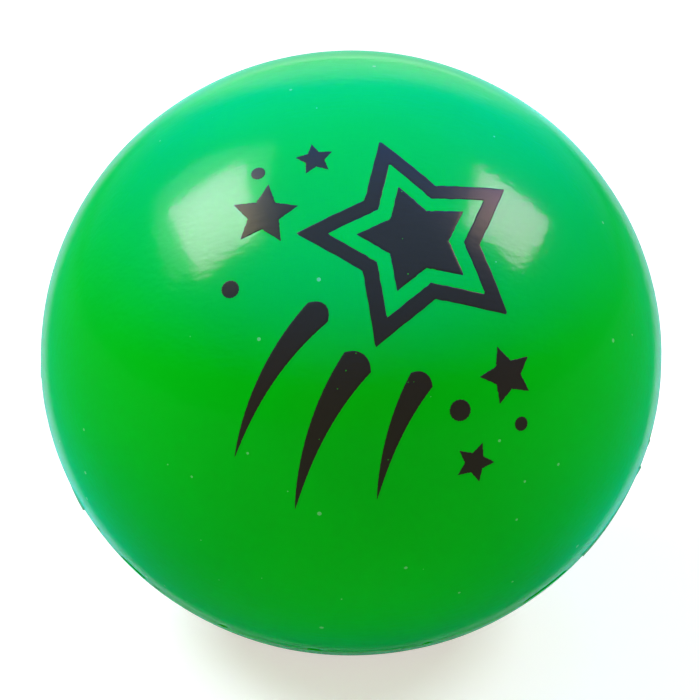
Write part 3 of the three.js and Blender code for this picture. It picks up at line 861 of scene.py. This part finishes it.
SOLID = (0, 0)
STARS = [
    # middle, outer tip and valley, inner tip and valley, spin in degrees
    ((4.5, 8.0), (14.0, 7.6), (10.3, 5.6), 102),
    ((4.5, 8.0), (7.0, 3.8), SOLID, 102),
    ((-13.0, 12.5), (4.2, 2.0), SOLID, 80),
    ((14.5, -8.5), (3.6, 1.8), SOLID, 110),
    ((-6.5, 19.5), (2.4, 1.2), SOLID, 95),
    ((10.5, -19.0), (2.6, 1.3), SOLID, 70),
]
TRAILS = [
    # start, bend, end, width
    ((-6.5, 0.5), (-14.5, -6.0), (-18.5, -17.0), 3.4),
    ((-2.5, -5.5), (-9.0, -12.5), (-11.5, -24.0), 4.0),
    ((4.5, -8.0), (0.0, -14.0), (-1.5, -23.0), 3.2),
]
DOTS = [
    # middle and radius
    ((-17.5, 3.5), 1.1),
    ((8.5, -12.5), 1.3),
    ((16.5, -14.5), 0.9),
    ((-13.5, 18.5), 0.9),
]


def print_grids():
    """All shapes of the print; a dot is a star of many points with no valleys."""
    stars = [ink_ring(middle, outer, inner, math.radians(spin), STAR_SEED_STEP * number)
             for number, (middle, outer, inner, spin) in enumerate(STARS)]
    flat = math.cos(math.pi / DOT_POINTS)
    dots = [ink_ring(middle, (radius, radius * flat), SOLID, 0, DOT_SEED + number, DOT_POINTS)
            for number, (middle, radius) in enumerate(DOTS)]
    trails = [ink_trail(*trail, TRAIL_SEED + number) for number, trail in enumerate(TRAILS)]
    return stars + dots + trails


# Pieces of the light module
def module_turned(outline, sides=AROUND_MODULE, degrees=0, out=0, up=0):
    """An outline turned about its own axis, which stands on the board's ring or on the pole axis."""
    return seated(on_board(turned(np.array(outline, float), sides), degrees, out, up))


def cup_outline():
    """A floor with a chamfered edge, a wall, and the ledge in it that the board lies on."""
    rim_z = shoulder_z - SEAT_GAP
    ledge_z = board_z - SEAT_GAP
    corners = [(0, 0), (capsule_radius - CUP_CHAMFER, 0), (capsule_radius, CUP_CHAMFER),
               (capsule_radius, rim_z), (board_recess, rim_z), (board_recess, ledge_z),
               (capsule_inner, ledge_z), (capsule_inner, CUP_FLOOR), (0, CUP_FLOOR)]
    return rounded(corners, MOULDED_ROUNDING)


def lens_outline():
    """Elliptic domes inside and out over a straight wall, and the spigot that enters the cup."""
    spigot = board_recess - SEAT_GAP
    inside = arc(capsule_inner, LENS_RISE, math.pi / 2, 0, AROUND_SMALL, (0, lens_straight_top))
    outside = arc(capsule_radius, LENS_RISE + LENS_WALL, 0, math.pi / 2, AROUND_SMALL, (0, lens_straight_top))
    inside[0, 0] = outside[-1, 0] = 0
    foot = rounded([(capsule_inner, lens_straight_top), (capsule_inner, part_z), (spigot, part_z),
                    (spigot, shoulder_z), (capsule_radius, shoulder_z), (capsule_radius, lens_straight_top)],
                   MOULDED_ROUNDING)
    return np.concatenate([inside[:-1], foot, outside[1:]])


def cell_outline():
    """A crimped can over a cap, with the seal's groove between them."""
    cap = CELL_CAP_DIAMETER / 2
    crimp = (cap + cell_radius - CELL_EDGE) / 2
    corners = [(0, 0), (cap, 0), (cap, CELL_CAP_STEP + CELL_EDGE), (crimp, CELL_CAP_STEP + CELL_EDGE),
               (crimp, CELL_CAP_STEP), (cell_radius - CELL_EDGE, CELL_CAP_STEP),
               (cell_radius, CELL_CAP_STEP + CELL_EDGE), (cell_radius, CELL_THICKNESS - CELL_EDGE),
               (cell_radius - CELL_EDGE, CELL_THICKNESS), (0, CELL_THICKNESS)]
    return rounded(corners, CELL_EDGE / 2)


def sleeve_grid():
    """Shrunk film round the stack: a tube whose wall draws in at each joint between cells, by a wave along
    its length, and is puckered by a finer wave round it towards its ends."""
    height = np.linspace(stack_z, stack_top, SLEEVE_STEPS)
    joint = np.cos(2 * math.pi * (height - stack_z) / cell_pitch)
    shrink = SLEEVE_SHRINK * np.clip(joint, 0, 1) ** SLEEVE_JOINT_POWER
    outline = np.concatenate([
        np.stack([sleeve_outer - shrink, height], axis=-1),
        np.stack([sleeve_outer - shrink - SLEEVE_WALL, height], axis=-1)[::-1],
        [(sleeve_outer - shrink[0], height[0])],
    ])
    grid = turned(outline, AROUND_BALL)
    angle = np.arctan2(grid[..., 1], grid[..., 0])
    near_end = np.abs(2 * (grid[..., 2] - stack_z) / (stack_top - stack_z) - 1) ** SLEEVE_END_POWER
    wave = 1 + np.sin(SLEEVE_PUCKER_COUNT * angle)
    pucker = 1 - SLEEVE_PUCKER * near_end * wave / sleeve_outer
    grid[..., :2] *= pucker[..., None]
    return seated(on_board(grid))


def strip_grid(tongue_z, degrees):
    """A bent contact strip: a rounded rectangle carried along a line that runs out under the stack, turns
    up round the bend and stands through the board; each end closes to a point in its middle."""
    middle_z = tongue_z + STRIP_THICKNESS / 2
    tab_x = tab_radius + STRIP_THICKNESS / 2
    tab_end = (tab_x, board_top + TAB_STANDOUT)
    line = rounded([(-STRIP_REACH, middle_z), (tab_x, middle_z), tab_end], STRIP_BEND)
    slope = unit(np.gradient(line, axis=0))
    angle = whole_turn(AROUND_SMALL)
    side, face = np.cos(angle), np.sin(angle)
    square = np.maximum(np.abs(side), np.abs(face))
    across = STRIP_WIDTH / 2 * side / square
    thick = STRIP_THICKNESS / 2 * face / square
    flat = [line[:, :1] - slope[:, 1:] * thick, np.broadcast_to(across, (len(line), AROUND_SMALL)),
            line[:, 1:] + slope[:, :1] * thick]
    return seated(on_board(capped(np.stack(flat, axis=-1)), degrees))


def chip_grid():
    """A blob of epoxy: a flat foot and an elliptic dome, with a wavy edge from the way it flowed."""
    dome = arc(CHIP_DIAMETER / 2, CHIP_HEIGHT, 0, math.pi / 2, AROUND_SMALL, (0, part_z))
    dome[-1, 0] = 0
    grid = turned(np.concatenate([[(0, part_z)], dome]), AROUND_MODULE)
    angle = np.arctan2(grid[..., 1], grid[..., 0])
    lobes = np.sin(BLOB_LOBES[0] * angle + 1) * np.cos(BLOB_LOBES[1] * angle)
    grid[..., :2] *= (1 - BLOB_WAVE * (1 + lobes))[..., None]
    return seated(on_board(grid))


def block_grid(size, middle):
    """A rounded block on the board: the ball (cos b cos a, cos b sin a, sin b) with each part raised to a low
    power, so that it fills its box."""
    rise = np.linspace(-math.pi / 2, math.pi / 2, AROUND_SMALL)[:, None]
    turn = whole_turn(AROUND_SMALL)
    parts = [np.cos(rise) * np.cos(turn), np.cos(rise) * np.sin(turn), np.sin(rise) + 0 * turn]
    ball = np.stack(parts, axis=-1)
    ball[np.abs(ball) < TINY] = 0
    block = np.sign(ball) * np.abs(ball) ** BLOCK_POWER * np.array(size) / 2
    return seated(on_board(block + middle, RESISTOR_PLACE))


def resistor_grids():
    """The resistor's body, and the two tinned caps over its ends."""
    width, length, height = RESISTOR_SIZE
    out = CHIP_DIAMETER / 2 + RESISTOR_SPACING + width / 2
    up = part_z + height / 2
    body = block_grid((width - CAP_PROUD, length - CAP_PROUD, height - CAP_PROUD), (out, 0, up))
    shift = (length - CAP_LENGTH) / 2
    caps = [block_grid((width, CAP_LENGTH, height), (out, way * shift, up)) for way in (-1, 1)]
    return [body], caps


def lamp_outline():
    """A flange, a straight body and a half-round top."""
    body, flange = LED_DIAMETER / 2, LED_FLANGE_DIAMETER / 2
    dome = arc(body, body, 0, math.pi / 2, AROUND_SMALL, (0, LED_HEIGHT - body))
    dome[-1, 0] = 0
    foot = rounded([(0, 0), (flange, 0), (flange, LED_FLANGE_HEIGHT), (body, LED_FLANGE_HEIGHT),
                    tuple(dome[0])], MOULDED_ROUNDING)
    return np.concatenate([foot, dome[1:]])


def lead_outline(diameter, top):
    """A wire with a rounded tip above, and a hollow-sided cone of solder under the board."""
    radius = diameter / 2
    solder_top = board_z - SEAT_GAP
    tail = board_z - SOLDER_TAIL
    corners = np.array([(radius, tail), (radius, solder_top), (SOLDER_RADIUS, solder_top)])
    cone = bent(*corners, np.linspace(0, 1, CORNER_STEPS)[:, None])
    tip = rounded([(radius, solder_top), (radius, top), (0, top)], radius / 2)
    return np.concatenate([[(0, tail)], cone, tip])


def spring_grid():
    """The shake spring's wire: a circle carried along a helix, (r cos a, r sin a, pitch a / turn); the circle
    lies across the wire, in the directions out from the axis and at right angles to the wire."""
    turns = np.linspace(0, SPRING_COILS, SPRING_COILS * AROUND_SMALL + 1)
    angle = 2 * math.pi * turns
    radius = (SPRING_DIAMETER - SPRING_WIRE) / 2
    out = np.stack([np.cos(angle), np.sin(angle), 0 * angle], axis=-1)
    line = radius * out + np.stack([0 * turns, 0 * turns, SPRING_PITCH * turns + SPRING_WIRE / 2], axis=-1)
    climb = SPRING_PITCH / (2 * math.pi * radius)
    slope = unit(np.stack([-np.sin(angle), np.cos(angle), 0 * angle + climb], axis=-1))
    side = np.cross(slope, out)
    round_wire = whole_turn(WIRE_SIDES)[:, None]
    ring = SPRING_WIRE / 2 * (np.cos(round_wire) * out[:, None] + np.sin(round_wire) * side[:, None])
    return seated(on_board(capped(line[:, None] + ring), SWITCH_PLACE, part_ring, part_z))


def add_module():
    """The capsule and everything in it; the board and the insulating disc keep their solids."""
    clear = clear_styrene()
    new_piece("cup_body", [module_turned(cup_outline())], clear, ["capsule_cup"])
    new_piece("lens_body", [module_turned(lens_outline())], clear, ["capsule_lens"])
    steel = nickelled_steel()
    for cell in range(CELL_COUNT):
        grid = module_turned(cell_outline(), up=stack_z + cell * cell_pitch)
        new_piece(f"cell_can_{cell + 1}", [grid], steel, [f"button_cell_{cell + 1}"])
    new_piece("shrunk_sleeve", [sleeve_grid()], sleeve_film(), ["cell_sleeve"])
    nickel = nickel_strip()
    new_piece("negative_contact", [strip_grid(negative_strip_z, NEGATIVE_TAB_PLACE)], nickel,
              ["negative_strip"])
    new_piece("positive_contact", [strip_grid(positive_strip_z, POSITIVE_TAB_PLACE)], nickel,
              ["positive_strip"])
    new_piece("epoxy_blob", [chip_grid()], chip_epoxy(), ["controller_chip"])
    tin = tinned_wire()
    body, caps = resistor_grids()
    new_piece("resistor_body", body, glazed_ceramic(), ["timing_resistor"])
    new_piece("resistor_caps", caps, tin)
    for colour, degrees in LED_PLACES.items():
        grid = module_turned(lamp_outline(), AROUND_MODULE, degrees, part_ring, part_z)
        new_piece(f"lamp_{colour}", [grid], lamp_epoxy(colour), [f"led_{colour}"])
        for pole, way in (("anode", 1), ("cathode", -1)):
            lead = turned(lead_outline(LEAD_DIAMETER, board_top), AROUND_SMALL) + (0, way * LEAD_PITCH / 2, 0)
            new_piece(f"lead_{colour}_{pole}", [seated(on_board(lead, degrees, part_ring))], tin,
                      [f"led_{colour}_{pole}"])
    brass = plated_brass()
    pin = lead_outline(PIN_DIAMETER, board_top + PIN_HEIGHT)
    pin_grid = module_turned(pin, AROUND_SMALL, SWITCH_PLACE, part_ring)
    new_piece("switch_pin", [pin_grid], brass, ["shake_pin"])
    spring = new_piece("switch_spring", [spring_grid()], brass, ["shake_spring"], body=None)
    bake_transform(spring)
    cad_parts["circuit_board"].material_slots[0].material = board_laminate()
    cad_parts["insulator_disc"].material_slots[0].material = insulator_card()


# Stage, light and camera
def camera_axes():
    """Right, up and towards-the-camera directions of the view in the world."""
    angle = math.radians(CAMERA_ELEVATION)
    return np.array([
        [1, 0, 0],
        [0, math.sin(angle), math.cos(angle)],
        [0, -math.cos(angle), math.sin(angle)],
    ])


def placed_object(name, data, place, axes):
    """Links a lamp or camera at a place in millimetres, with its X, Y and Z axes along the rows of axes."""
    made = bpy.data.objects.new(name, data)
    turn = np.eye(4)
    turn[:3, :3] = np.array(axes).T
    turn[:3, 3] = np.array(place) * MM
    made.matrix_world = turn.T
    bpy.context.scene.collection.objects.link(made)
    return made


def add_camera():
    """A camera that sees the ball at its size and place in the picture."""
    right, above, towards = camera_axes()
    pixel = BALL_WIDTH / BALL_PIXELS_WIDE
    middle = np.array([0, 0, centre_height])
    across = (PICTURE_PIXELS / 2 - BALL_MIDDLE_PIXELS[0]) * pixel
    rise = (BALL_MIDDLE_PIXELS[1] - PICTURE_PIXELS / 2) * pixel
    aim = middle + across * right + rise * above
    data = bpy.data.cameras.new("camera")
    data.sensor_width = SENSOR_WIDTH
    half_view = math.tan(math.asin(ball_radius / CAMERA_DISTANCE))
    data.lens = BALL_PIXELS_WIDE / 2 / half_view * SENSOR_WIDTH / PICTURE_PIXELS
    data.clip_end = CAMERA_REACH * MM
    camera = placed_object("camera", data, aim + CAMERA_DISTANCE * towards, camera_axes())
    bpy.context.scene.camera = camera


def add_softbox(name, direction, long_side, size, radiance, colour, distance, spread=180, shine=True):
    """A square-on lamp in a direction from the ball: its long side follows long_side, and its power gives
    that radiance over its area. It adds either to the shine or to the light; a narrow spread, in degrees,
    makes it brighter in its middle."""
    facing = unit(np.array(direction))
    along = unit(np.array(long_side) - np.dot(long_side, facing) * facing)
    data = bpy.data.lights.new(name, "AREA")
    data.shape = "RECTANGLE"
    data.color = linear(colour)[:3]
    data.spread = math.radians(spread)
    data.size = size[0] * MM
    data.size_y = size[1] * MM
    data.energy = radiance * math.pi * data.size * data.size_y
    place = np.array([0, 0, centre_height]) + distance * facing
    lamp = placed_object(name, data, place, [along, np.cross(facing, along), facing])
    lamp.visible_camera = False
    lamp.visible_diffuse = not shine
    lamp.visible_glossy = shine


WORLD_LEVEL = 0.12
STUDIO_GLOWS = [
    # direction, the cosines at which the glow starts and is full, its strength in red, green and blue, and
    # whether it only shines and doesn't light
    ((0.0, 0.342, 0.940), 0.5, 1.0, (0.25, 0.5, 1.1), False),
    ((0.0, 0.200, 0.980), 0.0, 0.85, (0.0, 8.2, 49.0), True),
    ((0.0, 1.0, -0.6), 0.62, 0.92, (1.0, 1.0, 1.0), False),
    ((0.0, 0.985, 0.174), 0.916, 0.998, (10.4, 6.2, 0.8), True),
    ((0.0, 0.0, -1.0), -0.45, 0.0, (0.3, 0.3, 0.3), False),
]
# A dark card low behind the ball: direction, the cosines at which its shade starts and is full, and the
# share of the light that it lets by
CARD = ((0.0, 0.906, -0.423), 0.8526, 0.8829, 0.18)
FLOOR_WHITE = "#c6c8c8"
FLOOR_GLOW = 0.63
FLOOR_GLOW_MIRRORED = 0.3
FLOOR_GLOW_COLOUR = "#fff5f2"
FLOOR_SPAN = 8000.0
PAPER_TOOTH = 1.11
PAPER_TOOTH_HEIGHT = 0.05
LEFT_BOX = {"direction": (-0.655, 0.060, 0.735), "long_side": (0, -1, 0), "size": (590, 410)}
RIGHT_BOX = {"direction": (0.715, 0.154, 0.665), "long_side": (0, -1, 0.1), "size": (460, 400)}
KEY_COLOUR = "#ecf6ff"
FRONT_COLOUR = "#ffb0f0"
SPILL_COLOUR = "#d6e6ff"
FILL_COLOUR = "#fffc68"


def floor_paper():
    """Matt white background paper: nearly flat, with a fine tooth. It glows where the camera sees it, also
    through clear pieces, and less in reflections, so that it looks white without lighting the ball."""
    material, tree = new_material("matt_background_paper")
    place = add(tree, "TexCoord").outputs["Object"]
    tooth = add(tree, "TexNoise", {"Vector": place, "Scale": 1 / (PAPER_TOOTH * MM)})
    bump = add(tree, "Bump", {"Height": tooth.outputs["Fac"], "Distance": PAPER_TOOTH_HEIGHT * MM,
                              "Strength": 0.3})
    rays = add(tree, "LightPath").outputs
    seen = add(tree, "Math", {0: rays["Is Camera Ray"], 1: rays["Is Transmission Ray"]}, operation="MAXIMUM")
    shown = add(tree, "Math", {0: seen, 1: FLOOR_GLOW}, operation="MULTIPLY")
    glow = add(tree, "Math", {0: rays["Is Glossy Ray"], 1: FLOOR_GLOW_MIRRORED, 2: shown},
               operation="MULTIPLY_ADD")
    shader = add(tree, "BsdfPrincipled", {
        "Base Color": linear(FLOOR_WHITE),
        "Roughness": 0.8,
        "Specular IOR Level": 0.0,
        "Normal": bump,
        "Emission Color": linear(FLOOR_GLOW_COLOUR),
        "Emission Strength": glow,
    })
    add(tree, "OutputMaterial", {"Surface": shader})
    return material


def sky_share(tree, sky, patch, outside, inside):
    """A smooth step over the sky, from a value outside a round patch to one inside it; patch gives its
    direction and the cosines at which the step starts and is full."""
    way, start, full = patch
    facing = add(tree, "VectorMath", {0: sky, 1: way}, operation="DOT_PRODUCT").outputs["Value"]
    return add(tree, "MapRange", {0: facing, 1: start, 2: full, 3: outside, 4: inside},
               interpolation_type="SMOOTHSTEP")


def add_stage():
    """The floor, and a sky of one plain level with the glows added to it and the card's shade over them."""
    half = FLOOR_SPAN / 2
    mesh = bpy.data.meshes.new("floor")
    corners = np.array([(-half, -half, 0), (half, -half, 0), (half, half, 0), (-half, half, 0)]) * MM
    mesh.from_pydata(corners, [], [(0, 1, 2, 3)])
    mesh.materials.append(floor_paper())
    floor = bpy.data.objects.new("floor", mesh)
    bpy.context.scene.collection.objects.link(floor)
    world = bpy.data.worlds.new("studio")
    world.use_nodes = True
    world.node_tree.nodes.clear()
    tree = world.node_tree
    sky = add(tree, "TexCoord").outputs["Generated"]
    light = (WORLD_LEVEL, WORLD_LEVEL, WORLD_LEVEL)
    glossy = add(tree, "LightPath").outputs["Is Glossy Ray"]
    for *patch, strength, shine_only in STUDIO_GLOWS:
        share = sky_share(tree, sky, patch, 0.0, glossy if shine_only else 1.0)
        inputs = {0: share, 1: strength, 2: light}
        light = add(tree, "VectorMath", inputs, operation="MULTIPLY_ADD")
    *patch, kept = CARD
    share = sky_share(tree, sky, patch, 1.0, kept)
    light = add(tree, "VectorMath", {0: light, "Scale": share}, operation="SCALE")
    background = add(tree, "Background", {"Color": light, "Strength": 1.0})
    add(tree, "OutputWorld", {"Surface": background})
    bpy.context.scene.world = world


def add_lights():
    """Two softboxes with hot fronts, the spill round the left one, and a low fill from the front."""
    add_softbox("left_softbox", **LEFT_BOX, radiance=12.8, colour=KEY_COLOUR, distance=1000, shine=False)
    add_softbox("right_softbox", **RIGHT_BOX, radiance=11.8, colour=KEY_COLOUR, distance=1000, shine=False)
    add_softbox("left_front", **LEFT_BOX, radiance=33, colour=FRONT_COLOUR, distance=995, spread=100)
    add_softbox("right_front", **RIGHT_BOX, radiance=32, colour=FRONT_COLOUR, distance=995, spread=100)
    add_softbox("left_spill", direction=(-0.66, 0.17, 0.73), long_side=(0, -1, -0.25), size=(740, 640),
                radiance=4.2, colour=SPILL_COLOUR, distance=1010, spread=60)
    add_softbox("front_fill", direction=(0, -0.97, 0.24), long_side=(1, 0, 0), size=(900, 900),
                radiance=1.42, colour=FILL_COLOUR, distance=1200, shine=False)


rubber = soft_rubber()
new_piece("front_skin", [front_skin()], rubber, ["front_half_shell"])
new_piece("rear_skin", [rear_skin()], rubber, ["rear_half_shell"])
new_piece("plug_skin", [plug_skin()], rubber, ["pocket_plug"])
new_piece("seam_flash", [seam_flash()], torn_rubber())
new_piece("star_print", print_grids(), print_ink())
add_module()
add_camera()
add_stage()
add_lights()
bpy.context.scene.view_settings.view_transform = "Standard"
